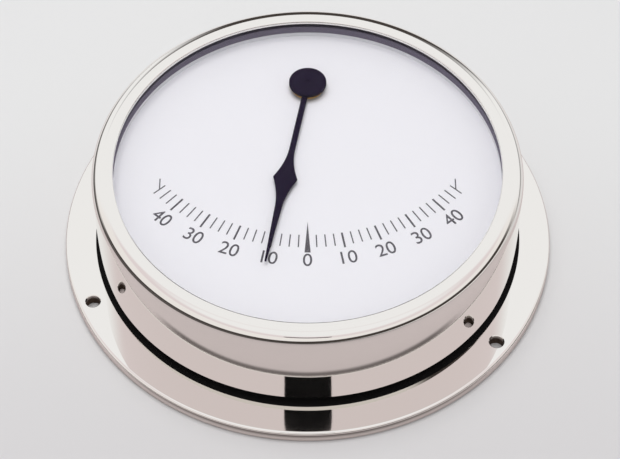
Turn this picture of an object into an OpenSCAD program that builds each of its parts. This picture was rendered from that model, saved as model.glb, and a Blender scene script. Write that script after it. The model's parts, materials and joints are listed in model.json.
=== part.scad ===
// Ship's clinometer: a heavy pendulum, damped in oil, swings a pointer over a fan scale.
// It lies on its back with the dial up. The origin is the centre of the flange's back face,
// +Z points out through the dial, +Y to 12 o'clock and +X to 3 o'clock. Millimetres.

/* [Case] */
// Outside diameter of the mounting flange
flange_d = 110; // [108:0.5:130]
// Thickness of the flange
flange_t = 2.8; // [2.5:0.1:4]
// Radius of the flange's rounded front edge
flange_edge_r = 0.7; // [0.2:0.1:1.1]
// Height of the neck above the flange, up to the seat of the dial
neck_h = 17.6; // [16.5:0.1:24]
// Bore of the neck
neck_bore_d = 86.4; // [86:0.1:92]
// Wall of the neck
neck_wall = 1.8; // [1.2:0.1:2.5]
// Bore of the inner lip that carries the back cover
lip_bore_d = 79; // [78.6:0.1:81]

/* [Mounting holes] */
// Distance of the screw holes' centres from the flange's edge
mount_edge = 3.3; // [2.8:0.1:4]
// Number of screw holes
mount_count = 3; // [2:1:6]
// Diameter of each screw hole
mount_hole_d = 3.2; // [2.5:0.1:4]
// Turn of the first hole from 6 o'clock, towards 3 o'clock
mount_turn = 53; // [0:0.1:119]
// Width of the chamfer at the mouth of each hole
mount_chamfer = 0.15; // [0.1:0.05:0.5]

/* [Bezel and window] */
// Wall of the bezel's skirt
bezel_wall = 2.3; // [1.6:0.1:2.6]
// Diameter of the opening over the dial
opening_d = 85.2; // [82:0.1:86]
// Thickness of the bezel's lip in front of the glass
lip_t = 0.9; // [0.8:0.1:2]
// Radius of the bezel's outer front edge
bezel_edge_r = 2.7; // [1:0.1:3]
// Radius of the skirt's lower edge
skirt_edge_r = 1.2; // [0.2:0.1:1.3]
// Radius of the edge round the opening
opening_edge_r = 0.3; // [0.1:0.05:0.4]
// Fall of the bezel's face from its rim to the opening
face_fall = 0.2; // [0:0.05:0.3]
// Thickness of the glass
glass_t = 1.5; // [1:0.1:2.5]
// Thickness of the rubber ring behind the glass
glass_gasket_t = 1.9; // [1.4:0.1:2.4]
// Height of the rubber ring between flange and skirt
case_gasket_t = 1.3; // [0.8:0.1:2]
// Thickness of the rubber ring's foot, let in flush with the flange
gasket_foot_t = 0.6; // [0.4:0.1:0.7]
// How far the foot reaches out past the skirt
gasket_foot_reach = 0.7; // [0.3:0.05:1]
// Height of the white ring on the dial
spacer_h = 1; // [0.6:0.1:3]
// How far the white ring stands back from the opening's edge
spacer_inset = 0.2; // [0:0.1:0.5]

/* [Dial] */
// Thickness of the dial plate
dial_t = 0.8; // [0.5:0.1:1.2]
// Distance of the pointer's pivot above the dial's centre
pivot_y = 26.4; // [22:0.1:26.7]
// Hole in the dial round the pivot
dial_hole_d = 6; // [5:0.1:7]
// Radius from the pivot to the inner ends of the marks
mark_inner_r = 42.5; // [38:0.1:44]
// Length of a minor mark
minor_len = 3.3; // [2:0.1:4]
// Length of a major mark
major_len = 4; // [3:0.1:5]
// Width of a minor mark
minor_w = 0.26; // [0.15:0.01:0.5]
// Width of a major mark
major_w = 0.42; // [0.2:0.01:0.8]
// Angle from mark to mark
mark_step = 2.5; // [1:0.5:5]
// Reading of the last mark on each side
scale_end = 47.5; // [40:2.5:50]
// Reading of the last major mark
major_end = 40; // [30:10:50]
// Angle from major mark to major mark
major_step = 10; // [5:5:20]
// Length of the short upright line at each end of the scale
end_line_len = 3; // [1:0.1:4]
// Radius from the pivot to the base of the zero wedge
wedge_base_r = 47.2; // [46:0.1:48]
// Length of the zero wedge
wedge_len = 8.3; // [5:0.1:10]
// Width of the zero wedge at its base
wedge_w = 1.3; // [0.8:0.1:2]
// Thickness of the printed marks
print_t = 0.06; // [0.04:0.01:0.1]

/* [Pointer] */
// Angle shown at rest, negative to the left
shown_angle = -10.1; // [-45:0.1:45]
// Length of the pointer from the pivot
pointer_len = 51.3; // [45:0.1:53]
// Thickness of the pointer
pointer_t = 0.4; // [0.3:0.05:0.6]
// Height of the pointer above the dial
pointer_lift = 1.1; // [0.9:0.1:1.3]
// Distance of the spade's corners from the pivot
spade_r = 28.8; // [24:0.1:32]
// Width over the spade's corners
spade_w = 5.4; // [3:0.1:7]
// Length of the hollow flare above the corners
spade_flare = 8.5; // [5:0.1:12]
// Length of the hollow taper below the corners
spade_taper = 9; // [5:0.1:12]
// Width of the stem
stem_w = 1.3; // [0.8:0.1:2]
// Width of the pointer below the spade
neck_w = 1.5; // [0.8:0.1:2.5]
// Width of the tip
tip_w = 0.4; // [0.2:0.05:0.8]
// Diameter of the black cap over the pointer's eye
cap_d = 8.5; // [8:0.1:12]
// Height of the black cap
cap_h = 0.8; // [0.7:0.1:1]
// Diameter of the brass shoulder under the pointer
collet_d = 7.4; // [5:0.1:7.8]
// Thickness of the brass shoulder
collet_flange_t = 0.7; // [0.4:0.05:0.8]

/* [Pendulum] */
// Swing to either side of zero before the arm meets a stop
swing = 50; // [40:1:52]
// Outer radius of the bob from the pivot
bob_outer_r = 42; // [36:0.1:43]
// Radial depth of the bob
bob_depth = 12; // [8:0.1:14]
// Half angle of the bob
bob_half_angle = 16; // [8:0.5:17]
// Thickness of the bob
bob_t = 6.5; // [4:0.1:9]
// Width of the pendulum arm
arm_w = 4; // [3:0.1:5]
// Thickness of the pendulum arm
arm_t = 1.2; // [0.8:0.1:2]
// Diameter of the arbor
arbor_d = 1.6; // [1.2:0.1:2]

/* [Movement] */
// Thickness of the front and rear plates
plate_t = 1.5; // [1.2:0.1:2]
// Distance between the plates
pillar_h = 7.5; // [6:0.1:8.5]
// Diameter of the pillars and posts
pillar_d = 4; // [3.6:0.1:4.2]
// Distance of the pillars from the pivot
pillar_r = 10.6; // [10.4:0.1:10.8]
// Angle of the two side pillars from 12 o'clock
pillar_angle = 80; // [70:1:90]
// Margin of plate outside the pillars' centres
plate_margin = 3; // [2.4:0.1:3.4]
// Diameter of the two stop pins
stop_pin_d = 1.6; // [1.2:0.1:2]

/* [Oil damper] */
// Outside diameter of the oil cup
cup_d = 16.4; // [14:0.1:16.6]
// Wall of the oil cup
cup_wall = 1; // [0.6:0.1:1.4]
// Thickness of the cup's cover
cup_cover_t = 1; // [0.6:0.1:1.2]
// Radial film of oil between the drum and the cup
oil_gap = 0.8; // [0.3:0.1:1.2]
// Wall of the drum
drum_wall = 0.8; // [0.5:0.1:1.2]

/* [Back] */
// Thickness of the back cover
cover_t = 1.2; // [1:0.1:1.4]
// Depth of the recess that holds the back cover
cover_recess = 1.5; // [1.45:0.05:1.6]
// Diameter of the back cover
cover_d = 91.6; // [90:0.1:94]
// Distance of the cover screws from the case axis
cover_screw_r = 41.6; // [41.2:0.1:42]

/* [Screws] */
// Thread diameter of the cover and movement screws
screw_d = 2; // [1.6:0.1:2.2]
// Head diameter of the screws
screw_head_d = 3.6; // [3.2:0.1:4]
// Height of a cheese head
screw_head_h = 1; // [0.6:0.1:1.2]
// Thread diameter of the damper screws
small_screw_d = 1.6; // [1.2:0.1:1.8]
// Head diameter of the damper screws
small_head_d = 2.8; // [2.4:0.1:3.2]
// Width of a screwdriver slot
slot_w = 0.5; // [0.3:0.1:0.6]
// Depth of a screwdriver slot
slot_depth = 0.4; // [0.2:0.1:0.5]

/* [Clearances] */
// Radial gap between the neck and the bezel
bezel_gap = 0.1; // [0.05:0.05:0.3]
// Radial gap round the glass, dial and rings inside the bezel
ring_gap = 0.2; // [0.1:0.05:0.4]
// Radial gap round the back cover
cover_gap = 0.2; // [0.1:0.05:0.4]
// Radial running gap of the arbor in its bearings
running_gap = 0.03; // [0.01:0.01:0.06]
// Radial gap of a pressed or screwed seat
press_gap = 0.01; // [0.01:0.01:0.03]
// Radial gap of a screw in a through hole
screw_gap = 0.15; // [0.1:0.05:0.3]
// End play of the pendulum between its bearings
end_play = 0.15; // [0.1:0.05:0.3]
// Gap between the movement's screw heads and the dial
dial_gap = 0.4; // [0.3:0.1:1]
// Gap between the arm and a stop pin at the end of the swing
stop_gap = 0.2; // [0.1:0.05:0.4]
// Gap above and below the drum in its cup
drum_gap = 0.6; // [0.4:0.1:0.8]
// Gap between the oil cup and the back cover
cup_gap = 1.1; // [0.8:0.1:1.5]

/* [Hidden] */
$fn = 96;

// Overshoot of a cutting tool past the face that it leaves
cut = 1;

// Radii of the case and what closes it
flange_r = flange_d / 2;
neck_bore_r = neck_bore_d / 2;
neck_r = neck_bore_r + neck_wall;
bezel_bore_r = neck_r + bezel_gap;
bezel_r = bezel_bore_r + bezel_wall;
opening_r = opening_d / 2;
insert_r = bezel_bore_r - ring_gap;
rubber_r = bezel_r - skirt_edge_r;
foot_r = bezel_r + gasket_foot_reach;
cover_r = cover_d / 2;
lip_bore_r = lip_bore_d / 2;

// Heights from the back of the flange to the front of the bezel
skirt_z = flange_t + case_gasket_t;
foot_z = flange_t - gasket_foot_t;
dial_z = flange_t + neck_h;
dial_top_z = dial_z + dial_t;
spacer_top_z = dial_top_z + spacer_h;
glass_z = spacer_top_z + glass_gasket_t;
glass_top_z = glass_z + glass_t;
front_z = glass_top_z + lip_t;
cover_z = cover_recess - cover_t;

// Heights of the movement, set back from the dial
front_plate_z = dial_z - dial_gap - screw_head_h - plate_t;
rear_plate_z = front_plate_z - pillar_h - plate_t;
pillar_z = rear_plate_z + plate_t;
bearing_flange_t = 0.5;
bearing_r = 2.2;
bearing_flange_r = 3;
hub_z = pillar_z + bearing_flange_t + end_play;
hub_top_z = front_plate_z - bearing_flange_t - end_play;
arm_z = (hub_z + hub_top_z - arm_t) / 2;
hub_r = 3.5;
hub_neck_r = 2.25;
arm_eye_r = 4.2;
plate_r = pillar_r + plate_margin;
bridge_hub_r = 5.5;
pillar_angles = [-pillar_angle, 0, pillar_angle];
screw_bite = 3.3;
tip_gap = 0.4;

// Bob and stops
bob_inner_r = bob_outer_r - bob_depth;
foot_depth = 5.4;
foot_margin = 0.6;
foot_half_angle = bob_half_angle - 3;
bob_screw_r = bob_inner_r + foot_margin + foot_depth / 2;
bob_screw_angle = foot_half_angle - 4.5;
bob_screw_bite = 4;
stop_angle = swing + asin((arm_w / 2 + stop_pin_d / 2 + stop_gap) / pillar_r);
stop_pin_over = 0.4;

// Oil damper
cup_r = cup_d / 2;
cup_z = cover_recess + cup_gap;
cup_floor_z = cup_z + cup_wall;
cup_cover_z = rear_plate_z - cup_cover_t;
cup_bore_r = cup_r - cup_wall;
drum_r = cup_bore_r - oil_gap;
drum_z = cup_floor_z + drum_gap;
drum_top_z = cup_cover_z - drum_gap;
drum_boss_r = 2;
ear_angles = [-40, 40];
ear_r = 2.2;
ear_t = 1.2;
ear_web_w = 3;
cover_hole_gap = 0.2;

// Pointer stack on the end of the arbor
arbor_r = arbor_d / 2;
pointer_z = dial_top_z + pointer_lift;
cap_z = pointer_z + pointer_t;
collet_stem_r = 2;
spigot_r = 1.5;
spigot_h = pointer_t + cap_h / 2;
eye_inset = 0.3;
dimple_r = 0.5;
dimple_depth = 0.25;
collet_bore_gap = 0.3;

// Point at radius r from the pivot, at angle a from 6 o'clock towards 3 o'clock
function polar(r, a) = [r * sin(a), -r * cos(a)];

// Points of an arc about c from angle a to angle b
function arc(c, r, a, b, steps = 8) =
  [for (i = [0 : steps]) c + r * [cos(a + (b - a) * i / steps), sin(a + (b - a) * i / steps)]];

// Half width of a hollow flank, from w1 at t = 0 to w2 at t = 1
function flank(w1, w2, t) = w1 + (w2 - w1) * pow(t, 2);

module at_pivot() translate([0, pivot_y, 0]) children();

module swung() at_pivot() rotate(shown_angle) children();

module rod(r, z1, z2) translate([0, 0, z1]) cylinder(r = r, h = z2 - z1);

module bore(r, z1, z2) rod(r, z1 - cut, z2 + cut);

module tube(r, bore_r, z1, z2) difference() {
  rod(r, z1, z2);
  bore(bore_r, z1, z2);
}

module at_pillars() for (a = pillar_angles)
  at_pivot() translate(polar(pillar_r, 180 + a)) children();

module at_ears() for (a = ear_angles) at_pivot() translate(polar(pillar_r, a)) children();

module at_cover_screws() for (i = [0 : 2]) translate(polar(cover_screw_r, 120 * i)) children();

module at_mounts() for (i = [0 : mount_count - 1])
  translate(polar(flange_r - mount_edge, mount_turn + 360 / mount_count * i)) children();

// Cheese-head screw: z is the seat of the head, dir is 1 for a head in front, -1 behind
module cheese_screw(d, head_d, head_h, z, length, dir) translate([0, 0, z]) mirror([0, 0, dir < 0 ? 1 : 0])
  difference() {
    union() {
      cylinder(d = head_d, h = head_h);
      translate([0, 0, -length]) cylinder(d = d, h = length + head_h / 2);
    }
    translate([-head_d, -slot_w / 2, head_h - slot_depth]) cube([2 * head_d, slot_w, head_h]);
  }

// Countersunk screw with its head flush behind, and the hole that it needs
sunk_head_h = (screw_head_d - screw_d) / 2;

module sunk_screw(z, z_end) difference() {
  union() {
    translate([0, 0, z]) cylinder(d1 = screw_head_d, d2 = screw_d, h = sunk_head_h);
    rod(screw_d / 2, z + sunk_head_h / 2, z_end);
  }
  translate([-screw_head_d, -slot_w / 2, z - slot_depth]) cube([2 * screw_head_d, slot_w, 2 * slot_depth]);
}

module sunk_hole(z, z_end) {
  translate([0, 0, z]) cylinder(d1 = screw_head_d + 2 * press_gap, d2 = screw_d + 2 * press_gap,
    h = sunk_head_h);
  bore(screw_d / 2 + press_gap, z, z_end);
}

// Turned brass case: flange, neck, and the inner lip that carries the back cover
module case() color("gainsboro") difference() {
  rotate_extrude() polygon(concat(
    [[lip_bore_r, cover_recess], [cover_r + cover_gap, cover_recess], [cover_r + cover_gap, 0],
     [flange_r - flange_edge_r / 2, 0], [flange_r, flange_edge_r / 2]],
    arc([flange_r - flange_edge_r, flange_t - flange_edge_r], flange_edge_r, 0, 90),
    [[foot_r + press_gap, flange_t], [foot_r + press_gap, foot_z], [neck_r, foot_z], [neck_r, dial_z],
     [neck_bore_r, dial_z], [neck_bore_r, flange_t], [lip_bore_r, flange_t]]));
  at_mounts() {
    bore(mount_hole_d / 2, 0, flange_t);
    translate([0, 0, flange_t - mount_chamfer])
      cylinder(r1 = mount_hole_d / 2, r2 = mount_hole_d / 2 + mount_chamfer + cut, h = mount_chamfer + cut);
  }
  at_cover_screws() bore(screw_d / 2 + press_gap, cover_recess, flange_t);
}

// Rubber ring: a foot let into the flange, and a rib that the skirt closes down on
module case_gasket() color("black") rotate_extrude() polygon([
  [bezel_bore_r, foot_z], [foot_r, foot_z], [foot_r, flange_t], [rubber_r, flange_t],
  [rubber_r, skirt_z], [bezel_bore_r, skirt_z]]);

// Turned bezel: skirt over the neck, and a lip that holds the glass
module bezel() color("gainsboro") rotate_extrude() polygon(concat(
  [[bezel_bore_r, skirt_z]],
  arc([bezel_r - skirt_edge_r, skirt_z + skirt_edge_r], skirt_edge_r, -90, 0),
  arc([bezel_r - bezel_edge_r, front_z - bezel_edge_r], bezel_edge_r, 0, 90, 12),
  arc([opening_r + opening_edge_r, front_z - face_fall - opening_edge_r], opening_edge_r, 90, 180, 6),
  [[opening_r, glass_top_z], [bezel_bore_r, glass_top_z]]));

module glass() color("azure", 0.25) rod(insert_r, glass_z, glass_top_z);

module glass_gasket() color("black")
  tube(insert_r, opening_r + spacer_inset, spacer_top_z, glass_z);

module spacer_ring() color("whitesmoke")
  tube(insert_r, opening_r + spacer_inset, dial_top_z, spacer_top_z);

module dial() color("white") difference() {
  rod(insert_r, dial_z, dial_top_z);
  at_pivot() bore(dial_hole_d / 2, dial_z, dial_top_z);
}

// Upright strip of print, len long, from y downwards in its own frame
module strip(w, y, len) translate([-w / 2, y - len, dial_top_z]) cube([w, len, print_t]);

module end_line(side) translate(polar(mark_inner_r + minor_len / 2, side * scale_end))
  strip(minor_w, end_line_len, end_line_len);

// Printed fan scale: minor and major marks, a wedge at zero, a short line at each end
module scale_marks() color("dimgray") at_pivot() {
  for (a = [-scale_end : mark_step : scale_end]) if (a != 0) {
    major = a % major_step == 0 && abs(a) <= major_end;
    rotate(a) strip(major ? major_w : minor_w, -mark_inner_r, major ? major_len : minor_len);
  }
  translate([0, 0, dial_top_z]) linear_extrude(print_t) polygon([
    [-wedge_w / 2, -wedge_base_r], [wedge_w / 2, -wedge_base_r], [0, wedge_len - wedge_base_r]]);
  for (side = [-1, 1]) end_line(side);
}

module back_cover() color("dimgray") difference() {
  rod(cover_r, cover_z, cover_recess);
  at_cover_screws() sunk_hole(cover_z, cover_recess);
  at_pillars() sunk_hole(cover_z, cover_recess);
}

module cover_screws() color("silver") at_cover_screws() sunk_screw(cover_z, flange_t);

module mounting_posts() color("silver") at_pillars()
  tube(pillar_d / 2, screw_d / 2 + press_gap, cover_recess, rear_plate_z);

module movement_screws() color("silver") at_pillars() sunk_screw(cover_z, pillar_z + screw_bite - tip_gap);

// Round rear plate: bearing, three movement screws, two stop pins, two damper screws
module rear_plate() color("goldenrod") difference() {
  at_pivot() rod(plate_r, rear_plate_z, pillar_z);
  at_pivot() bore(bearing_r + press_gap, rear_plate_z, pillar_z);
  at_pillars() bore(screw_d / 2 + press_gap, rear_plate_z, pillar_z);
  at_stops() bore(stop_pin_d / 2 + press_gap, rear_plate_z, pillar_z);
  at_ears() bore(small_screw_d / 2 + press_gap, rear_plate_z, pillar_z);
}

module pillars() color("gold") at_pillars() difference() {
  rod(pillar_d / 2, pillar_z, front_plate_z);
  rod(screw_d / 2 + press_gap, pillar_z - cut, pillar_z + screw_bite);
  rod(screw_d / 2 + press_gap, front_plate_z - screw_bite, front_plate_z + cut);
}

// Three-armed bridge that carries the front bearing
module front_plate() color("goldenrod") difference() {
  union() {
    at_pivot() rod(bridge_hub_r, front_plate_z, front_plate_z + plate_t);
    at_pillars() rod(plate_margin, front_plate_z, front_plate_z + plate_t);
    at_pivot() for (a = pillar_angles) rotate(a) translate([0, 0, front_plate_z])
      linear_extrude(plate_t) polygon([[-bridge_hub_r * 0.8, 0], [bridge_hub_r * 0.8, 0],
        [plate_margin * 0.9, pillar_r], [-plate_margin * 0.9, pillar_r]]);
  }
  at_pivot() bore(bearing_r + press_gap, front_plate_z, front_plate_z + plate_t);
  at_pillars() bore(screw_d / 2 + screw_gap, front_plate_z, front_plate_z + plate_t);
}

module front_plate_screws() color("silver") at_pillars() cheese_screw(screw_d, screw_head_d,
  screw_head_h, front_plate_z + plate_t, plate_t + screw_bite - tip_gap, 1);

// Flanged bearing bush pressed into a plate from z1 to z2, its flange towards dir
module bearing(z1, z2, dir) difference() {
  union() {
    rod(bearing_r, z1, z2);
    rod(bearing_flange_r, dir > 0 ? z2 : z1 - bearing_flange_t, dir > 0 ? z2 + bearing_flange_t : z1);
  }
  bore(arbor_r + running_gap, z1, z2);
}

module rear_bearing() color("darkgoldenrod") at_pivot() bearing(rear_plate_z, pillar_z, 1);

module front_bearing() color("darkgoldenrod") at_pivot()
  bearing(front_plate_z, front_plate_z + plate_t, -1);

module at_stops() for (side = [-1, 1]) at_pivot() translate(polar(pillar_r, side * stop_angle)) children();

module stop_pins() color("silver") at_stops()
  rod(stop_pin_d / 2, rear_plate_z, arm_z + arm_t + stop_pin_over);

// Oil cup with two ears, hung on the back of the rear plate
module damper_cup() color("silver") difference() {
  union() {
    at_pivot() rod(cup_r, cup_z, rear_plate_z);
    at_ears() rod(ear_r, rear_plate_z - ear_t, rear_plate_z);
    for (a = ear_angles) at_pivot() rotate(a) translate([-ear_web_w / 2, -pillar_r, rear_plate_z - ear_t])
      cube([ear_web_w, pillar_r, ear_t]);
  }
  at_pivot() rod(cup_bore_r, cup_floor_z, rear_plate_z + cut);
  at_ears() bore(small_screw_d / 2 + press_gap, rear_plate_z - ear_t, rear_plate_z);
}

module damper_cover() color("gold") at_pivot()
  tube(cup_bore_r - press_gap, arbor_r + cover_hole_gap, cup_cover_z, rear_plate_z);

module damper_screws() color("silver") at_ears() cheese_screw(small_screw_d, small_head_d,
  screw_head_h, rear_plate_z - ear_t, ear_t + plate_t - tip_gap, -1);

module arbor() color("silver") at_pivot() rod(arbor_r, drum_z, pointer_z + spigot_h - press_gap);

// Bell-shaped drum that turns in the oil
module damper_drum() color("gold") at_pivot() difference() {
  rod(drum_r, drum_z, drum_top_z);
  difference() {
    rod(drum_r - drum_wall, drum_z - cut, drum_top_z - drum_wall);
    rod(drum_boss_r, drum_z - 2 * cut, drum_top_z);
  }
  bore(arbor_r + press_gap, drum_z, drum_top_z);
}

module pendulum_hub() color("gold") at_pivot() difference() {
  union() {
    rod(hub_r, hub_z, arm_z);
    rod(hub_neck_r, arm_z, hub_top_z);
  }
  bore(arbor_r + press_gap, hub_z, hub_top_z);
}

// Ring sector between two radii, half its angle to each side of 6 o'clock
module sector(inner_r, outer_r, half, z1, z2) intersection() {
  tube(outer_r, inner_r, z1, z2);
  translate([0, 0, z1 - cut]) linear_extrude(z2 - z1 + 2 * cut)
    polygon([[0, 0], polar(2 * outer_r, -half), polar(2 * outer_r, half)]);
}

module at_bob_screws() for (side = [-1, 1]) swung() translate(polar(bob_screw_r, side * bob_screw_angle))
  children();

module pendulum_arm() color("gold") difference() {
  swung() {
    rod(arm_eye_r, arm_z, arm_z + arm_t);
    translate([-arm_w / 2, -bob_inner_r - foot_margin - foot_depth / 2, arm_z])
      cube([arm_w, bob_inner_r + foot_margin + foot_depth / 2, arm_t]);
    sector(bob_inner_r + foot_margin, bob_inner_r + foot_margin + foot_depth, foot_half_angle,
      arm_z, arm_z + arm_t);
  }
  at_pivot() bore(hub_neck_r + press_gap, arm_z, arm_z + arm_t);
  at_bob_screws() bore(screw_d / 2 + screw_gap, arm_z, arm_z + arm_t);
}

// Heavy brass bob behind the arm, with two blind threads for its screws
module bob() color("darkgoldenrod") difference() {
  swung() sector(bob_inner_r, bob_outer_r, bob_half_angle, arm_z - bob_t, arm_z);
  at_bob_screws() rod(screw_d / 2 + press_gap, arm_z - bob_screw_bite, arm_z + cut);
}

module bob_screws() color("silver") at_bob_screws() cheese_screw(screw_d, screw_head_d,
  screw_head_h, arm_z + arm_t, arm_t + bob_screw_bite - tip_gap, 1);

// Collet pressed on the arbor: stem through the dial, shoulder and spigot for the pointer
module pointer_collet() color("gold") at_pivot() difference() {
  union() {
    rod(collet_stem_r, front_plate_z + plate_t + collet_bore_gap, pointer_z);
    rod(collet_d / 2, pointer_z - collet_flange_t, pointer_z);
    rod(spigot_r, pointer_z, pointer_z + spigot_h);
  }
  bore(arbor_r + press_gap, front_plate_z, pointer_z + spigot_h);
}

// Outline of one flank of the pointer, from the eye to the tip
flank_steps = 6;
flank_points = concat(
  [[stem_w / 2, 0]],
  [for (i = [0 : flank_steps]) let (t = i / flank_steps)
    [flank(stem_w / 2, spade_w / 2, t), -(spade_r - spade_flare * (1 - t))]],
  [for (i = [1 : flank_steps]) let (t = i / flank_steps)
    [flank(neck_w / 2, spade_w / 2, 1 - t), -(spade_r + spade_taper * t)]],
  [[tip_w / 2, -pointer_len]]);

module pointer() color("black") swung() difference() {
  union() {
    translate([0, 0, pointer_z]) linear_extrude(pointer_t) polygon(concat(
      flank_points, [for (i = [len(flank_points) - 1 : -1 : 0]) [-flank_points[i][0], flank_points[i][1]]]));
    rod(cap_d / 2 - eye_inset, pointer_z, cap_z);
  }
  bore(spigot_r + press_gap, pointer_z, cap_z);
}

module hub_cap() color("black") at_pivot() difference() {
  rod(cap_d / 2, cap_z, cap_z + cap_h);
  rod(spigot_r + press_gap, cap_z - cut, cap_z + cap_h / 2);
  rod(dimple_r, cap_z + cap_h - dimple_depth, cap_z + cap_h + cut);
}

case();
case_gasket();
bezel();
glass();
glass_gasket();
spacer_ring();
dial();
scale_marks();
back_cover();
cover_screws();
mounting_posts();
movement_screws();
rear_plate();
pillars();
front_plate();
front_plate_screws();
rear_bearing();
front_bearing();
stop_pins();
damper_cup();
damper_cover();
damper_screws();
arbor();
damper_drum();
pendulum_hub();
pendulum_arm();
bob();
bob_screws();
pointer_collet();
pointer();
hub_cap();
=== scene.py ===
import json
import math
import bmesh
import bpy
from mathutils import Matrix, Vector


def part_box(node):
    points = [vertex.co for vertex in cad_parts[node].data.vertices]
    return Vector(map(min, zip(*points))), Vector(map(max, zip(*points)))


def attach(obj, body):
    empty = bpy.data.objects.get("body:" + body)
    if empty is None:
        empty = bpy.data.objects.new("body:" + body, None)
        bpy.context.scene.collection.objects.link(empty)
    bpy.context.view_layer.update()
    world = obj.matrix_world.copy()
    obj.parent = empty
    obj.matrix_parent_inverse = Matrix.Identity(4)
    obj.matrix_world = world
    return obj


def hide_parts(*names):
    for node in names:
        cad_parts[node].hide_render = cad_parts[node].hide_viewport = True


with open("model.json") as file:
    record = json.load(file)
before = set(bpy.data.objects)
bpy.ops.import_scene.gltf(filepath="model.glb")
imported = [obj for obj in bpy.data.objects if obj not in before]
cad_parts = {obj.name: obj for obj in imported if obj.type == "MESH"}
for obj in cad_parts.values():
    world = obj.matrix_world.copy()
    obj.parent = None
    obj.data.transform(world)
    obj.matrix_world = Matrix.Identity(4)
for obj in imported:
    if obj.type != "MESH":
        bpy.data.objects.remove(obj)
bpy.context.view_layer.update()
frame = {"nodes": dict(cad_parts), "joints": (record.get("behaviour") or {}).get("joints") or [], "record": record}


# Case: the mounting flange and the neck behind the bezel, turned in one from a brass casting.
# It is polished and chromed all over, and the flange is drilled for three screws. A shallow
# groove round the neck takes the foot of the case gasket.
MM = 0.001
TURNED_STEPS = 360
FIT = 0.01 * MM

polished_chrome_colour = "#EBE9E6"
# The dull dark brown of the screw-hole bores is bare brass darkened as painted shade.
shaded_bore_brass_colour = "#62564B"
case_low, case_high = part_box("case")
flange_radius = case_high.x
groove_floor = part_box("case_gasket")[0].z
groove_depth = 0.6 * MM
groove_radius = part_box("case_gasket")[1].x + FIT
flange_top = groove_floor + groove_depth
neck_top = case_high.z
cover_gap = 0.2 * MM
recess_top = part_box("back_cover")[1].z
recess_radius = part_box("back_cover")[1].x + cover_gap
thread_gap = 0.1 * MM
neck_wall = 1.8 * MM
flange_edge = 0.7 * MM
flange_back_edge = 0.35 * MM
rim_edge = 0.2 * MM
screw_holes = next(m["dims"] for m in frame["record"]["mounts"] if m["name"] == "screw_holes")
hole_ring = screw_holes["pcd_mm"] / 2 * MM
hole_radius = screw_holes["hole_r_mm"] * MM
first_hole = math.radians(53.0)
hole_chamfer = 0.15 * MM
hole_sides = 48
bore_shade_start_depth = 0.2 * MM
bore_shade_full_depth = 1.2 * MM


def innermost(name):
    """The smallest radius of a turned node, about the case axis."""
    return min(v.co.xy.length for v in frame["nodes"][name].data.vertices)


lip_bore = innermost("case")
neck_radius = innermost("case_gasket") - thread_gap
neck_bore = neck_radius - neck_wall


def start_part(name):
    """Names the primitive just added, puts its place in its mesh and opens it for editing."""
    part = bpy.context.object
    part.name = part.data.name = name
    bpy.ops.object.transform_apply(location=True, rotation=True, scale=True)
    bpy.ops.object.mode_set(mode="EDIT")
    return part


def cross_section(name, inner, outer, low, high):
    """Adds a flat blank for a turned ring's cross-section, on the +X side of the case axis."""
    bpy.ops.object.select_all(action="DESELECT")
    bpy.ops.mesh.primitive_plane_add(
        size=1, location=((inner + outer) / 2, 0, (low + high) / 2), rotation=(math.pi / 2, 0, 0)
    )
    bpy.context.object.scale = (outer - inner, high - low, 1)
    return start_part(name)


def select(part, kind, test):
    """Selects, in edit mode, just the verts, edges or faces whose middle passes a test."""
    bpy.ops.mesh.select_mode(type={"verts": "VERT", "edges": "EDGE", "faces": "FACE"}[kind])
    bpy.ops.mesh.select_all(action="DESELECT")
    mesh = bmesh.from_edit_mesh(part.data)
    for item in getattr(mesh, kind):
        points = [item] if kind == "verts" else item.verts
        item.select_set(bool(test(sum((v.co for v in points), Vector()) / len(points))))
    mesh.select_flush_mode()
    bmesh.update_edit_mesh(part.data)


def at(value, wanted):
    return abs(value - wanted) < FIT


def score_radius(radius):
    """Scores a line across the cross-section, for the next pull or cut to start from."""
    bpy.ops.mesh.select_all(action="SELECT")
    bpy.ops.mesh.bisect(plane_co=(radius, 0, 0), plane_no=(1, 0, 0))


def score_height(height):
    bpy.ops.mesh.select_all(action="SELECT")
    bpy.ops.mesh.bisect(plane_co=(0, 0, height), plane_no=(0, 0, 1))


def pull_edge(part, radius, height, outwards=0, upwards=0):
    """Extrudes the edge of the cross-section whose middle lies at this radius and height."""
    select(part, "edges", lambda m: at(m.x, radius) and at(m.z, height))
    bpy.ops.mesh.extrude_region_move(TRANSFORM_OT_translate={"value": (outwards, 0, upwards)})


def round_corner(part, radius, height, size, segments=6):
    """Rounds the corner of the cross-section at this radius and height."""
    select(part, "verts", lambda m: at(m.x, radius) and at(m.z, height))
    bpy.ops.mesh.bevel(offset=size, segments=segments, affect="VERTICES")


def spin_section(part, steps=TURNED_STEPS):
    """Turns the finished cross-section about the case axis into a closed ring."""
    bpy.ops.mesh.select_mode(type="FACE")
    bpy.ops.mesh.select_all(action="SELECT")
    bpy.ops.mesh.dissolve_faces()
    bpy.ops.mesh.delete(type="ONLY_FACE")
    bpy.ops.mesh.select_mode(type="VERT")
    bpy.ops.mesh.select_all(action="SELECT")
    bpy.ops.mesh.spin(steps=steps, angle=2 * math.pi, center=(0, 0, 0), axis=(0, 0, 1))
    bpy.ops.mesh.select_all(action="SELECT")
    bpy.ops.mesh.remove_doubles(threshold=0.1 * FIT)
    bpy.ops.mesh.normals_make_consistent(inside=False)
    bpy.ops.object.mode_set(mode="OBJECT")


def apply(part, kind, **settings):
    """Adds one modifier to the part, sets it and applies it."""
    bpy.ops.object.select_all(action="DESELECT")
    part.select_set(True)
    bpy.context.view_layer.objects.active = part
    modifier = part.modifiers.new(kind.lower(), kind)
    for name, value in settings.items():
        setattr(modifier, name, value)
    bpy.ops.object.modifier_apply(modifier=modifier.name)


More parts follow.
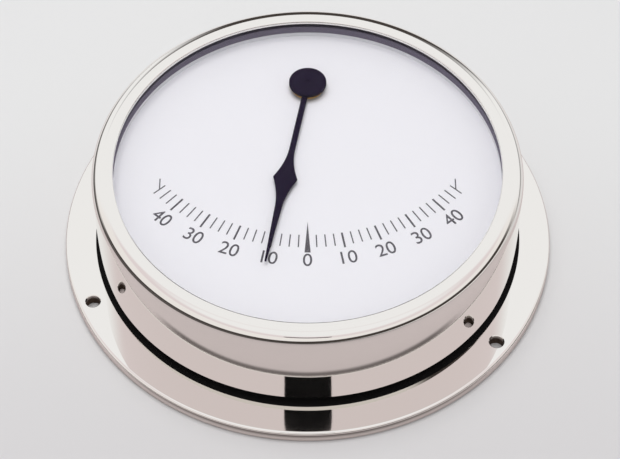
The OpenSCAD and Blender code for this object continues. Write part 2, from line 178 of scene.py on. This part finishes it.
def smooth(part, angle=30):
    """Shades curves smooth, keeps edges crisp and flats truly flat, so that they mirror cleanly."""
    bpy.ops.object.select_all(action="DESELECT")
    part.select_set(True)
    bpy.context.view_layer.objects.active = part
    bpy.ops.object.shade_smooth_by_angle(angle=math.radians(angle))
    apply(part, "WEIGHTED_NORMAL", keep_sharp=True)


def linear(colour):
    """An sRGB hex colour as the linear values that a shader works in."""
    shares = [int(colour[i : i + 2], 16) / 255 for i in (1, 3, 5)]
    return tuple(c / 12.92 if c <= 0.04045 else ((c + 0.055) / 1.055) ** 2.4 for c in shares) + (1,)


def add(tree, kind, settings, inputs):
    """Adds a node. An input is a plain value, an output, or a node, which gives its first output."""
    made = tree.nodes.new("ShaderNode" + kind)
    for name, value in settings.items():
        setattr(made, name, value)
    for name, value in inputs.items():
        if isinstance(value, bpy.types.Node):
            value = value.outputs[0]
        if isinstance(value, bpy.types.NodeSocket):
            tree.links.new(value, made.inputs[name])
        else:
            made.inputs[name].default_value = value
    return made


def blank_material(name):
    """A new material's node tree, emptied, with the object's own coordinates."""
    material = bpy.data.materials.new(name)
    material.use_nodes = True
    material.node_tree.nodes.clear()
    place = material.node_tree.nodes.new("ShaderNodeTexCoord").outputs["Object"]
    return material, material.node_tree, place


def finish_part(part, material, body="housing"):
    """Gives a part its material and mounts it on its body."""
    part.data.materials.clear()
    part.data.materials.append(material)
    if part.name not in frame["nodes"]:
        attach(part, body)


# Chrome plate over polished brass: a mirror, with a haze of fine wiping marks that only shows
# where a highlight ends, and the slight waviness that the buffing wheel leaves under the plate.
# Plating hardly reaches down into a drilled hole, so the bore is bare brass; its dull dark brown is also painted
# shade, standing in for the shade down the hole.
def make_polished_chrome(name, holes=()):
    material, tree, place = blank_material(name)
    wiping = add(tree, "TexNoise", {}, {"Vector": place, "Scale": 1 / (3 * MM), "Detail": 4})
    haze = add(tree, "MapRange", {}, {"Value": wiping, "To Min": 0.02, "To Max": 0.05})
    buffing = add(tree, "TexNoise", {}, {"Vector": place, "Scale": 1 / (14 * MM), "Detail": 1})
    waves = add(tree, "Bump", {}, {"Height": buffing, "Strength": 0.06, "Distance": 0.1 * MM})
    colour = linear(polished_chrome_colour)
    if holes:
        flat = add(tree, "VectorMath", {"operation": "MULTIPLY"}, {0: place, 1: (1, 1, 0)})
        inside = 0
        for x, y in holes:
            away = add(tree, "VectorMath", {"operation": "DISTANCE"}, {0: flat, 1: (x, y, 0)})
            near = add(tree, "Math", {"operation": "LESS_THAN"}, {
                0: away.outputs["Value"], 1: hole_radius + hole_chamfer,
            })
            inside = add(tree, "Math", {"operation": "MAXIMUM"}, {0: inside, 1: near})
        # Below the mouth the bore turns dull dark brown: bare brass, darkened as painted shade down the hole.
        height = add(tree, "SeparateXYZ", {}, {"Vector": place}).outputs["Z"]
        depth = add(tree, "MapRange", {}, {
            "Value": height, "From Min": flange_top - bore_shade_full_depth, "From Max": flange_top - bore_shade_start_depth,
            "To Min": 1, "To Max": 0,
        })
        bore_shade = add(tree, "Math", {"operation": "MULTIPLY"}, {0: inside, 1: depth})
        colour = add(tree, "MixRGB", {}, {
            "Fac": bore_shade, "Color1": colour, "Color2": linear(shaded_bore_brass_colour),
        })
        haze = add(tree, "MapRange", {}, {"Value": bore_shade, "To Min": haze, "To Max": 0.6})
    surface = add(tree, "BsdfPrincipled", {}, {
        "Base Color": colour, "Metallic": 1, "Roughness": haze, "Normal": waves,
    })
    add(tree, "OutputMaterial", {}, {"Surface": surface})
    return material


case = cross_section("case_chromed", lip_bore, flange_radius, 0, flange_top)
for radius in (neck_bore, neck_radius, recess_radius, groove_radius):
    score_radius(radius)
for height in (recess_top, groove_floor):
    score_height(height)
select(case, "faces", lambda m: m.x < recess_radius and m.z < recess_top)
bpy.ops.mesh.delete(type="FACE")
select(case, "faces", lambda m: neck_radius < m.x < groove_radius and m.z > groove_floor)
bpy.ops.mesh.delete(type="FACE")
pull_edge(case, (neck_bore + neck_radius) / 2, flange_top, upwards=neck_top - flange_top)
round_corner(case, flange_radius, flange_top, flange_edge, 8)
round_corner(case, flange_radius, 0, flange_back_edge, 3)
for radius, height in ((recess_radius, 0), (lip_bore, recess_top), (lip_bore, flange_top),
                       (neck_bore, neck_top), (neck_radius, neck_top)):
    round_corner(case, radius, height, rim_edge, 2)
spin_section(case)


def drill(part, x, y, low, high, radius, chamfer):
    """Drills a hole up through the part and chamfers its upper mouth."""
    start, rim = low - MM, high - chamfer
    bpy.ops.object.select_all(action="DESELECT")
    bpy.ops.mesh.primitive_cylinder_add(
        vertices=hole_sides, radius=radius, depth=rim - start, location=(x, y, (start + rim) / 2)
    )
    bit = start_part("bit")
    select(bit, "faces", lambda m: m.z > rim - FIT)
    bpy.ops.mesh.extrude_region_move(TRANSFORM_OT_translate={"value": (0, 0, 2 * chamfer)})
    widened = (radius + 2 * chamfer) / radius
    bpy.ops.transform.resize(value=(widened, widened, 1), center_override=(x, y, high))
    bpy.ops.object.mode_set(mode="OBJECT")
    apply(part, "BOOLEAN", operation="DIFFERENCE", solver="EXACT", object=bit)
    bpy.data.objects.remove(bit)


turns = [first_hole + i * 2 * math.pi / screw_holes["count"] for i in range(screw_holes["count"])]
holes = [(hole_ring * math.sin(turn), -hole_ring * math.cos(turn)) for turn in turns]
for x, y in holes:
    drill(case, x, y, 0, flange_top, hole_radius, hole_chamfer)
smooth(case)
finish_part(case, make_polished_chrome("chrome_plated_brass_case", holes))
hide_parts("case")


# Case gasket: a black rubber ring round the neck. Its foot lies flush in the flange's groove and
# shows as a black band round the bezel, and the bezel's skirt closes down on its rib.
black_rubber_colour = "#0B0A0B"
gasket_low, gasket_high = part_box("case_gasket")
gasket_bore = innermost("case_gasket")
gasket_points = [v.co for v in frame["nodes"]["case_gasket"].data.vertices]
rib_radius = max(point.xy.length for point in gasket_points if at(point.z, gasket_high.z))
foot_edge = 0.1 * MM


# Moulded rubber: matte, with the fine grain of the mould and a faint bloom.
def make_rubber(name, colour):
    material, tree, place = blank_material(name)
    grain = add(tree, "TexNoise", {}, {"Vector": place, "Scale": 1 / (0.3 * MM), "Detail": 2})
    bloom = add(tree, "MapRange", {}, {"Value": grain, "To Min": 0.75, "To Max": 0.9})
    bump = add(tree, "Bump", {}, {"Height": grain, "Strength": 0.3, "Distance": 0.02 * MM})
    surface = add(tree, "BsdfPrincipled", {}, {
        "Base Color": linear(colour), "Roughness": bloom, "Specular IOR Level": 0.2, "Normal": bump,
    })
    add(tree, "OutputMaterial", {}, {"Surface": surface})
    return material


case_gasket = cross_section("case_gasket_moulded", gasket_bore, rib_radius, gasket_low.z, gasket_high.z)
score_height(flange_top)
pull_edge(case_gasket, rib_radius, (gasket_low.z + flange_top) / 2, outwards=gasket_high.x - rib_radius)
round_corner(case_gasket, gasket_high.x, flange_top, foot_edge, 3)
spin_section(case_gasket)
smooth(case_gasket)
finish_part(case_gasket, make_rubber("moulded_nitrile_rubber", black_rubber_colour))
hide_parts("case_gasket")


# Movement: two brass plates on three pillars, with bronze bushes for the arbor, hung on steel
# posts from the back cover. The dial hides it. The CAD pieces keep their own shapes.
brass_colour = "#C9A25B"
bronze_colour = "#9A6A3A"
steel_colour = "#B9B8B6"
tarnish_colour = "#E4DDD2"


# Turned and grained metal: bright, with the fine tool marks that run across it. The marks are
# drawn 0.15 mm apart, coarser than real ones, so that they show.
def make_tooled_metal(name, colour, low, high):
    material, tree, place = blank_material(name)
    drawn_out = add(tree, "Mapping", {}, {"Vector": place, "Scale": (1, 12, 1)})
    marks = add(tree, "TexNoise", {}, {"Vector": drawn_out, "Scale": 1 / (1.8 * MM), "Detail": 3})
    shine = add(tree, "MapRange", {}, {"Value": marks, "To Min": low, "To Max": high})
    tarnish = add(tree, "TexNoise", {}, {"Vector": place, "Scale": 1 / (4 * MM), "Detail": 2})
    shade = add(tree, "MixRGB", {"blend_type": "MULTIPLY"}, {
        "Fac": tarnish, "Color1": linear(colour), "Color2": linear(tarnish_colour),
    })
    bump = add(tree, "Bump", {}, {"Height": marks, "Strength": 0.15, "Distance": 0.01 * MM})
    surface = add(tree, "BsdfPrincipled", {}, {
        "Base Color": shade, "Metallic": 1, "Roughness": shine, "Normal": bump,
    })
    add(tree, "OutputMaterial", {}, {"Surface": surface})
    return material


grained_brass = make_tooled_metal("grained_brass", brass_colour, 0.2, 0.38)
bearing_bronze = make_tooled_metal("turned_bearing_bronze", bronze_colour, 0.25, 0.4)
turned_steel = make_tooled_metal("bright_turned_steel", steel_colour, 0.15, 0.3)
for name in ("rear_plate", "pillars", "front_plate"):
    finish_part(frame["nodes"][name], grained_brass)
for name in ("rear_bearing", "front_bearing"):
    finish_part(frame["nodes"][name], bearing_bronze)
for name in ("mounting_posts", "front_plate_screws", "stop_pins"):
    finish_part(frame["nodes"][name], turned_steel)


# Oil damper: a turned aluminium cup screwed behind the rear plate, closed by a brass cover.
aluminium_colour = "#BFC1C3"
turned_aluminium = make_tooled_metal("turned_aluminium", aluminium_colour, 0.25, 0.4)
finish_part(frame["nodes"]["damper_cup"], turned_aluminium)
finish_part(frame["nodes"]["damper_cover"], grained_brass)
finish_part(frame["nodes"]["damper_screws"], turned_steel)


# Pendulum: a steel arbor with the damper's brass drum, a brass hub and arm, and a heavy brass
# bob held to the arm's foot by two steel screws.
for name in ("arbor", "bob_screws"):
    finish_part(frame["nodes"][name], turned_steel)
for name in ("damper_drum", "pendulum_hub", "pendulum_arm", "bob"):
    finish_part(frame["nodes"][name], grained_brass)


# Back cover: a round steel lid, blanked from sheet and lacquered black, let into the case's back.
# Six countersunk steel screws hold it and the movement, with their heads flush.
back_lacquer_colour = "#1B1B1C"


# Satin black lacquer, sprayed: a soft sheen broken by a fine orange-peel.
def make_satin_black(name, colour, low, high, gloss=0.5):
    material, tree, place = blank_material(name)
    peel = add(tree, "TexNoise", {}, {"Vector": place, "Scale": 1 / (0.7 * MM), "Detail": 2})
    sheen = add(tree, "MapRange", {}, {"Value": peel, "To Min": low, "To Max": high})
    bump = add(tree, "Bump", {}, {"Height": peel, "Strength": 0.25, "Distance": 0.01 * MM})
    surface = add(tree, "BsdfPrincipled", {}, {
        "Base Color": linear(colour), "Roughness": sheen, "Specular IOR Level": gloss, "Normal": bump,
    })
    add(tree, "OutputMaterial", {}, {"Surface": surface})
    return material


satin_black = make_satin_black("black_lacquered_steel_sheet", back_lacquer_colour, 0.35, 0.5)
finish_part(frame["nodes"]["back_cover"], satin_black)
for name in ("cover_screws", "movement_screws"):
    finish_part(frame["nodes"][name], turned_steel)


# Dial: a sheet aluminium disc, lacquered white, on the neck's front edge. A fan of marks is
# printed on it in grey ink, with plain numbers every ten degrees from 40 to 0 to 40.
dial_colour = "#EAE9EE"
ink_colour = "#46434A"
thin_ink_colour = "#57545B"
swing_joint = frame["joints"][0]
pivot = Vector(swing_joint["pos_m"])
dial_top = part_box("dial")[1].z
print_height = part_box("scale_marks")[1].z - dial_top
number_ring = 49.4 * MM
number_height = 3.4 * MM
number_width = 0.95
figure_share = 0.72
last_number = 40
number_step = 10


# White lacquer, sprayed and baked: close to matte, with a grain that only its sheen shows.
def make_white_lacquer():
    material, tree, place = blank_material("white_baked_lacquer")
    grain = add(tree, "TexNoise", {}, {"Vector": place, "Scale": 1 / (0.25 * MM), "Detail": 2})
    sheen = add(tree, "MapRange", {}, {"Value": grain, "To Min": 0.45, "To Max": 0.6})
    bump = add(tree, "Bump", {}, {"Height": grain, "Strength": 0.2, "Distance": 0.005 * MM})
    surface = add(tree, "BsdfPrincipled", {}, {
        "Base Color": linear(dial_colour), "Roughness": sheen, "Normal": bump,
    })
    add(tree, "OutputMaterial", {}, {"Surface": surface})
    return material


# Pad-printed ink: flat grey, a little uneven where the pad laid it thin.
def make_printed_ink():
    material, tree, place = blank_material("pad_printed_grey_ink")
    cover = add(tree, "TexNoise", {}, {"Vector": place, "Scale": 1 / (0.4 * MM), "Detail": 3})
    shade = add(tree, "MixRGB", {}, {
        "Fac": cover, "Color1": linear(ink_colour), "Color2": linear(thin_ink_colour),
    })
    surface = add(tree, "BsdfPrincipled", {}, {"Base Color": shade, "Roughness": 0.55})
    add(tree, "OutputMaterial", {}, {"Surface": surface})
    return material


def print_number(reading):
    """One number of the scale, upright towards the pivot, as a mesh in its place on the dial."""
    bpy.ops.object.select_all(action="DESELECT")
    bpy.ops.object.text_add()
    number = bpy.context.object
    number.data.body = str(abs(reading))
    number.data.align_x = number.data.align_y = "CENTER"
    number.data.extrude = print_height / 2
    number.data.size = number_height / figure_share
    bpy.ops.object.convert(target="MESH")
    turn = math.radians(reading)
    number.scale.x = number_width
    number.rotation_euler.z = turn
    number.location.x = pivot.x + number_ring * math.sin(turn)
    number.location.y = pivot.y - number_ring * math.cos(turn)
    number.location.z = dial_top + print_height / 2
    bpy.ops.object.transform_apply(location=True, rotation=True, scale=True)
    return number


def join(parts, name):
    """Joins parts of one kind into one piece."""
    bpy.ops.object.select_all(action="DESELECT")
    for part in parts:
        part.select_set(True)
    bpy.context.view_layer.objects.active = parts[0]
    bpy.ops.object.join()
    parts[0].name = parts[0].data.name = name
    return parts[0]


finish_part(frame["nodes"]["dial"], make_white_lacquer())
printed_ink = make_printed_ink()
finish_part(frame["nodes"]["scale_marks"], printed_ink)
numbers = join([print_number(r) for r in range(-last_number, last_number + 1, number_step)], "scale_numbers")
finish_part(numbers, printed_ink)


# Pointer: a flat blade with a spade, stamped from thin brass and lacquered black. It sits on the
# collet of the arbor under a turned black cap, so it swings with the pendulum.
pointer_colour = "#1A1226"
shown_reading = -sum(swing_joint["range_deg"]) / 2
blade_low, blade_high = (corner.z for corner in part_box("pointer"))
blade_length = 51.3 * MM
spade_corner = 28.1 * MM
spade_width = 5.4 * MM
spade_flare = 8.5 * MM
spade_taper = 9.0 * MM
stem_width = 1.3 * MM
neck_width = 1.5 * MM
tip_width = 0.4 * MM
blade_edge = 0.05 * MM
curve_rows = 12
cap_low, cap_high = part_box("hub_cap")
cap_radius = (cap_high.x - cap_low.x) / 2
cap_edge = 0.14 * MM
dimple_radius = 0.5 * MM
dimple_depth = 0.25 * MM
eye_inset = 0.3 * MM
collet_spigot = 1.51 * MM
corner_angle = math.radians(50)


def blade_width(down):
    """Width of the blade at a distance down from the pivot: hollow flanks above and below the spade."""
    if down <= spade_corner:
        share = max(0, 1 - (spade_corner - down) / spade_flare)
        return stem_width + (spade_width - stem_width) * share ** 2
    share = max(0, 1 - (down - spade_corner) / spade_taper)
    if share > 0:
        return neck_width + (spade_width - neck_width) * share ** 2
    left = (blade_length - down) / (blade_length - spade_corner - spade_taper)
    return tip_width + (neck_width - tip_width) * left


bpy.ops.object.select_all(action="DESELECT")
bpy.ops.mesh.primitive_plane_add(size=blade_length, location=(0, -blade_length / 2, blade_high))
bpy.context.object.scale.x = MM / blade_length
pointer = start_part("pointer_blade")
rows = [spade_corner - spade_flare * (1 - i / curve_rows) for i in range(curve_rows + 1)]
rows += [spade_corner + spade_taper * (i + 1) / curve_rows for i in range(curve_rows)]
for row in rows:
    bpy.ops.mesh.select_all(action="SELECT")
    bpy.ops.mesh.bisect(plane_co=(0, -row, 0), plane_no=(0, 1, 0))
for row in [0] + rows + [blade_length]:
    select(pointer, "verts", lambda m: at(m.y, -row))
    bpy.ops.transform.resize(value=(blade_width(row) / MM, 1, 1), center_override=(0, -row, blade_high))
bpy.ops.mesh.select_all(action="SELECT")
bpy.ops.mesh.extrude_region_move(TRANSFORM_OT_translate={"value": (0, 0, blade_low - blade_high)})
bpy.ops.mesh.select_all(action="SELECT")
bpy.ops.mesh.normals_make_consistent(inside=False)
bpy.ops.object.mode_set(mode="OBJECT")


def turned_disc(name, radius, low, high, sides=96):
    """Adds a disc about the pivot's own axis, through the origin, open for editing."""
    bpy.ops.object.select_all(action="DESELECT")
    bpy.ops.mesh.primitive_cylinder_add(
        vertices=sides, radius=radius, depth=high - low, location=(0, 0, (low + high) / 2)
    )
    return start_part(name)


def swing_into_place(part):
    """Turns a part made about the origin to the reading shown, and moves it to the pivot."""
    bpy.ops.object.select_all(action="DESELECT")
    part.select_set(True)
    bpy.context.view_layer.objects.active = part
    part.rotation_euler.z = math.radians(shown_reading)
    part.location = (pivot.x, pivot.y, 0)
    bpy.ops.object.transform_apply(location=True, rotation=True, scale=True)


eye = turned_disc("eye", cap_radius - eye_inset, blade_low, blade_high)
bpy.ops.object.mode_set(mode="OBJECT")
apply(pointer, "BOOLEAN", operation="UNION", solver="EXACT", object=eye)
bpy.data.objects.remove(eye)
reamer = turned_disc("reamer", collet_spigot, blade_low - MM, blade_high + MM, 48)
bpy.ops.object.mode_set(mode="OBJECT")
apply(pointer, "BOOLEAN", operation="DIFFERENCE", solver="EXACT", object=reamer)
bpy.data.objects.remove(reamer)
apply(pointer, "BEVEL", width=blade_edge, segments=2, limit_method="ANGLE", angle_limit=corner_angle)
smooth(pointer)
swing_into_place(pointer)

cap = turned_disc("pointer_cap", cap_radius, blade_high, cap_high.z)
select(cap, "faces", lambda m: at(m.z, cap_high.z))
bpy.ops.mesh.inset(thickness=cap_radius - dimple_radius)
bpy.ops.mesh.inset(thickness=0.3 * dimple_radius, depth=-dimple_depth)
bpy.ops.object.mode_set(mode="OBJECT")
apply(cap, "BEVEL", width=cap_edge, segments=3, limit_method="ANGLE", angle_limit=corner_angle)
smooth(cap)
swing_into_place(cap)

black_lacquer = make_satin_black("black_lacquered_brass", pointer_colour, 0.7, 0.85, 0.12)
finish_part(pointer, black_lacquer, "pendulum")
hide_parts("pointer")
finish_part(cap, black_lacquer, "pendulum")
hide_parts("hub_cap")
finish_part(frame["nodes"]["pointer_collet"], grained_brass)


# Spacer ring: a low moulded white ring on the dial. A dark rubber ring stands on it and holds the
# glass off, and makes most of the shaded inner wall.
spacer_colour = "#E6E6EA"
seal_colour = "#736D7C"
spacer_low, spacer_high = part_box("spacer_ring")
seal_low, seal_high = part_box("glass_gasket")
spacer_edge = 0.2 * MM
seal_edge = 0.15 * MM


# Moulded acetal: white, satin, with the faint flow marks of the mould.
def make_white_acetal():
    material, tree, place = blank_material("moulded_white_acetal")
    flow = add(tree, "TexNoise", {}, {"Vector": place, "Scale": 1 / (2 * MM), "Detail": 2})
    sheen = add(tree, "MapRange", {}, {"Value": flow, "To Min": 0.4, "To Max": 0.55})
    surface = add(tree, "BsdfPrincipled", {}, {
        "Base Color": linear(spacer_colour), "Roughness": sheen, "Subsurface Weight": 0.1,
        "Subsurface Radius": (MM, MM, MM),
    })
    add(tree, "OutputMaterial", {}, {"Surface": surface})
    return material


spacer = cross_section("spacer_moulded", innermost("spacer_ring"), spacer_high.x, spacer_low.z, spacer_high.z)
round_corner(spacer, innermost("spacer_ring"), spacer_high.z, spacer_edge, 4)
spin_section(spacer)
smooth(spacer)
finish_part(spacer, make_white_acetal())
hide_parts("spacer_ring")

seal = cross_section("glass_gasket_moulded", innermost("glass_gasket"), seal_high.x, seal_low.z, seal_high.z)
for height in (seal_high.z, seal_low.z):
    round_corner(seal, innermost("glass_gasket"), height, seal_edge, 3)
spin_section(seal)
smooth(seal)
finish_part(seal, make_rubber("moulded_silicone_rubber", seal_colour))
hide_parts("glass_gasket")


# Glass: a flat disc of clear mineral glass, its edge ground and lightly chamfered, held under the
# bezel's lip.
glass_colour = "#FEFEFE"
glass_low, glass_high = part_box("glass")
glass_chamfer = 0.2 * MM


# Polished clear glass, coated against glare: the low IOR keeps what it mirrors near one part in a
# hundred, and the studio's light passes through it to the dial.
def make_clear_glass():
    material, tree, place = blank_material("polished_clear_glass")
    wiping = add(tree, "TexNoise", {}, {"Vector": place, "Scale": 1 / (6 * MM), "Detail": 3})
    film = add(tree, "MapRange", {}, {"Value": wiping, "To Min": 0.0, "To Max": 0.015})
    glass = add(tree, "BsdfPrincipled", {}, {
        "Base Color": linear(glass_colour), "Roughness": film, "IOR": 1.1, "Transmission Weight": 1,
    })
    clear = add(tree, "BsdfTransparent", {}, {"Color": linear(glass_colour)})
    path = tree.nodes.new("ShaderNodeLightPath").outputs
    lamps = add(tree, "Math", {"operation": "MAXIMUM"}, {0: path["Is Shadow Ray"], 1: path["Is Diffuse Ray"]})
    surface = add(tree, "MixShader", {}, {0: lamps, 1: glass, 2: clear})
    add(tree, "OutputMaterial", {}, {"Surface": surface})
    return material


bpy.ops.object.select_all(action="DESELECT")
bpy.ops.mesh.primitive_cylinder_add(
    vertices=TURNED_STEPS, radius=glass_high.x, depth=glass_high.z - glass_low.z,
    location=(0, 0, (glass_low.z + glass_high.z) / 2)
)
pane = start_part("glass_pane")
bpy.ops.object.mode_set(mode="OBJECT")
apply(pane, "BEVEL", width=glass_chamfer, segments=1, limit_method="ANGLE", angle_limit=corner_angle)
smooth(pane)
finish_part(pane, make_clear_glass())
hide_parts("glass")


# Bezel: turned from brass tube in one with its lip, polished and chromed. Its skirt screws down
# over the neck and its lip holds the glass. The shoulder is well rounded and the foot chamfered.
bezel_low, bezel_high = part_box("bezel")
bezel_bore = gasket_bore
opening = innermost("bezel")
bezel_edge = 2.7 * MM
skirt_edge = bezel_high.x - rib_radius
opening_edge = 0.3 * MM
bore_edge = 0.15 * MM
face_fall = 0.2 * MM

bezel = cross_section("bezel_chromed", bezel_bore, bezel_high.x, bezel_low.z, bezel_high.z)
score_height(glass_high.z)
pull_edge(bezel, bezel_bore, (glass_high.z + bezel_high.z) / 2, outwards=opening - bezel_bore)
bpy.ops.mesh.select_all(action="SELECT")
bpy.ops.mesh.dissolve_limited(angle_limit=math.radians(1))
select(bezel, "verts", lambda m: at(m.x, opening) and at(m.z, bezel_high.z))
bpy.ops.transform.translate(value=(0, 0, -face_fall))
round_corner(bezel, bezel_high.x, bezel_high.z, bezel_edge, 18)
round_corner(bezel, bezel_high.x, bezel_low.z, skirt_edge, 1)
round_corner(bezel, opening, bezel_high.z - face_fall, opening_edge, 5)
round_corner(bezel, bezel_bore, bezel_low.z, bore_edge, 2)
spin_section(bezel)
smooth(bezel)
finish_part(bezel, make_polished_chrome("chrome_plated_brass_bezel"))
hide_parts("bezel")


# Studio: pale paper, a white tent over it and one large soft lamp overhead. Mirrored light alone
# shows the tent's duller front, the dark room through its gaps, the ends of the paper, a contact
# shade round the flange and, as the two bars in front, the black velvet screen round the lens.
paper_back_colour = "#E6E6E6"
# The greyer front of the paper is painted shade, for the light falling off towards the front.
paper_shaded_front_colour = "#D9D7D8"
mirrored_paper_colour = "#D6CBCA"
mirrored_sides_colour = "#F2F0EF"
dark_room_colour = "#48423F"
tent_colour = "#FDFDFE"
tent_back_colour = "#FFFFFF"
tent_front_colours = ((0.72, "#FBF7F4"), (0.775, "#EFE4E5"), (0.86, "#EFE4E5"), (0.94, "#FFFFFF"))
tent_light = 0.5
floor_size = 4000 * MM
lamp_place = Vector((-30 * MM, 60 * MM, 600 * MM))
lamp_size = 400 * MM
lamp_power = 2.1
camera_height = math.radians(52.06)
camera_distance = 474.3 * MM
camera_target = Vector((0.52 * MM, 2.13 * MM, 0))
lens_length = 120.0
screen_width = 130 * MM
screen_height = 44 * MM
screen_corner = 8 * MM
screen_setback = 20 * MM
screen_colour = "#050506"

# What the chrome mirrors is painted in soft-edged patches. A patch is its strength and its edges,
# and an edge is a direction or a measure, then where the patch ends along it and where it is full.
LEFT, RIGHT, FRONT, BACK, UP = (-1, 0, 0), (1, 0, 0), (0, -1, 0), (0, 1, 0), (0, 0, 1)
tent_front = (1, (BACK, 0.55, 0.35))
gap_under_skirt = (
    1, ((-0.14, 0, 1), -0.05, 0), ((-0.21, 0, 1), 0.38, 0.34), (UP, 0.47, 0.42), (BACK, 0.5, 0.15),
)
doorway_behind = (
    1, ((1, 0, -0.15), -0.38, -0.18), ((1, 0, 0.55), 0.62, 0.42), (BACK, 0.3, 0.5), (UP, 0.72, 0.7),
)
low_gap_left = (0.7, (LEFT, 0.35, 0.6), (UP, -0.08, -0.02), (UP, 0.16, 0.08), (BACK, 0.15, 0.5))
low_gap_right = (0.7, (RIGHT, 0.35, 0.6), (UP, -0.08, -0.02), (UP, 0.16, 0.08), (BACK, 0.15, 0.5))


def paint(tree, place, colour, paint_colour, patches):
    """Paints one colour over another in soft-edged patches."""
    cover = 0
    for strength, *edges in patches:
        patch = strength
        for measure, end, full in edges:
            if isinstance(measure, tuple):
                along = add(tree, "VectorMath", {"operation": "DOT_PRODUCT"}, {0: place, 1: measure})
                measure = along.outputs["Value"]
            edge = add(tree, "MapRange", {"interpolation_type": "SMOOTHSTEP"}, {
                "Value": measure, "From Min": end, "From Max": full,
            })
            patch = add(tree, "Math", {"operation": "MULTIPLY"}, {0: patch, 1: edge})
        cover = add(tree, "Math", {"operation": "MAXIMUM"}, {0: cover, 1: patch})
    return add(tree, "MixRGB", {}, {"Fac": cover, "Color1": colour, "Color2": paint_colour})


# Uncoated paper: matte, with a faint tooth. It is painted a little greyer towards the front, as painted shade for
# the light falling off there.
def make_paper():
    material, tree, place = blank_material("studio_paper")
    path = tree.nodes.new("ShaderNodeLightPath").outputs
    away = add(tree, "VectorMath", {"operation": "LENGTH"}, {0: place}).outputs["Value"]
    bright_back = (1, (BACK, -80 * MM, 50 * MM))
    bright_sides = (1, (away, 70 * MM, 100 * MM), (BACK, -10 * MM, 30 * MM))
    left_edge = (1, ((-1, -0.28, 0), 90 * MM, 120 * MM))
    front_end = (1, ((-0.45, -0.9, 0), 0, 500 * MM))
    contact_shade = (
        0.8, (away, flange_radius + 3 * MM, flange_radius + 2 * MM),
        (away, flange_radius + 0.4 * MM, flange_radius + 1.3 * MM), (FRONT, 32 * MM, 44 * MM),
    )
    # The paper's front is painted greyer and its back brighter, as painted shade and light.
    paper = paint(tree, place, linear(paper_shaded_front_colour), linear(paper_back_colour), [bright_back])
    mirrored = paint(
        tree, place, linear(mirrored_paper_colour), linear(mirrored_sides_colour), [bright_sides]
    )
    mirrored = paint(
        tree, place, mirrored, linear(dark_room_colour), [left_edge, front_end, contact_shade]
    )
    shade = add(tree, "MixRGB", {}, {"Fac": path["Is Glossy Ray"], "Color1": paper, "Color2": mirrored})
    tooth = add(tree, "TexNoise", {}, {"Vector": place, "Scale": 1 / (0.8 * MM), "Detail": 2})
    bump = add(tree, "Bump", {}, {"Height": tooth, "Strength": 0.1, "Distance": 0.02 * MM})
    surface = add(tree, "BsdfPrincipled", {}, {"Base Color": shade, "Roughness": 0.9, "Normal": bump})
    add(tree, "OutputMaterial", {}, {"Surface": surface})
    return material


def tent_wall(tree, height, stops):
    """The colours that one side of the tent shows, from the floor up."""
    wall = add(tree, "ValToRGB", {}, {"Fac": height})
    for stop, colour in stops:
        wall.color_ramp.elements.new(stop).color = linear(colour)
    wall.color_ramp.elements.remove(wall.color_ramp.elements[-1])
    wall.color_ramp.elements.remove(wall.color_ramp.elements[0])
    return wall


bpy.ops.object.select_all(action="DESELECT")
bpy.ops.mesh.primitive_plane_add(size=floor_size, location=(0, 0, case_low.z))
floor = bpy.context.object
floor.name = "studio_floor"
floor.data.materials.append(make_paper())

world = bpy.data.worlds.new("studio_tent")
bpy.context.scene.world = world
world.use_nodes = True
tree = world.node_tree
tree.nodes.clear()
path = tree.nodes.new("ShaderNodeLightPath").outputs
way = tree.nodes.new("ShaderNodeTexCoord").outputs["Generated"]
height = add(tree, "SeparateXYZ", {}, {"Vector": way}).outputs["Z"]
front_wall = tent_wall(tree, height, tent_front_colours)
mirrored = paint(tree, way, linear(tent_back_colour), front_wall, [tent_front])
mirrored = paint(
    tree, way, mirrored, linear(dark_room_colour),
    [gap_under_skirt, doorway_behind, low_gap_left, low_gap_right],
)
colour = add(tree, "MixRGB", {}, {
    "Fac": path["Is Glossy Ray"], "Color1": linear(tent_colour), "Color2": mirrored,
})
seen = 0
for ray in ("Is Camera Ray", "Is Glossy Ray", "Is Transmission Ray"):
    seen = add(tree, "Math", {"operation": "MAXIMUM"}, {0: seen, 1: path[ray]})
strength = add(tree, "MapRange", {}, {"Value": seen, "To Min": tent_light, "To Max": 1})
tent = add(tree, "Background", {}, {"Color": colour, "Strength": strength})
add(tree, "OutputWorld", {}, {"Surface": tent})

lamp_data = bpy.data.lights.new("soft_lamp", "AREA")
lamp_data.shape = "DISK"
lamp_data.size = lamp_size
lamp_data.energy = lamp_power
lamp = bpy.data.objects.new("soft_lamp", lamp_data)
bpy.context.scene.collection.objects.link(lamp)
lamp.location = lamp_place
lamp.rotation_euler = (-lamp_place).to_track_quat("-Z", "Y").to_euler()
lamp.visible_glossy = False

backwards = Vector((0, -math.cos(camera_height), math.sin(camera_height)))
camera_data = bpy.data.cameras.new("camera")
camera_data.lens = lens_length
camera_data.clip_start = 10 * MM
camera = bpy.data.objects.new("camera", camera_data)
bpy.context.scene.collection.objects.link(camera)
camera.location = camera_target + backwards * camera_distance
camera.rotation_euler = (-backwards).to_track_quat("-Z", "Y").to_euler()
bpy.context.scene.camera = camera

bpy.ops.object.select_all(action="DESELECT")
bpy.ops.mesh.primitive_plane_add(
    size=1, location=camera.location + backwards * screen_setback, rotation=camera.rotation_euler
)
bpy.context.object.scale = (screen_width, screen_height, 1)
screen = start_part("lens_screen")
bpy.ops.mesh.select_all(action="SELECT")
bpy.ops.mesh.bevel(offset=screen_corner, segments=6, affect="VERTICES")
bpy.ops.object.mode_set(mode="OBJECT")
# Black velvet: its pile sends almost nothing back, so it has no sheen.
velvet, tree, place = blank_material("black_velvet")
surface = add(tree, "BsdfPrincipled", {}, {"Base Color": linear(screen_colour), "Roughness": 1.0})
add(tree, "OutputMaterial", {}, {"Surface": surface})
screen.data.materials.append(velvet)
screen.visible_camera = False

bpy.context.scene.view_settings.view_transform = "Standard"
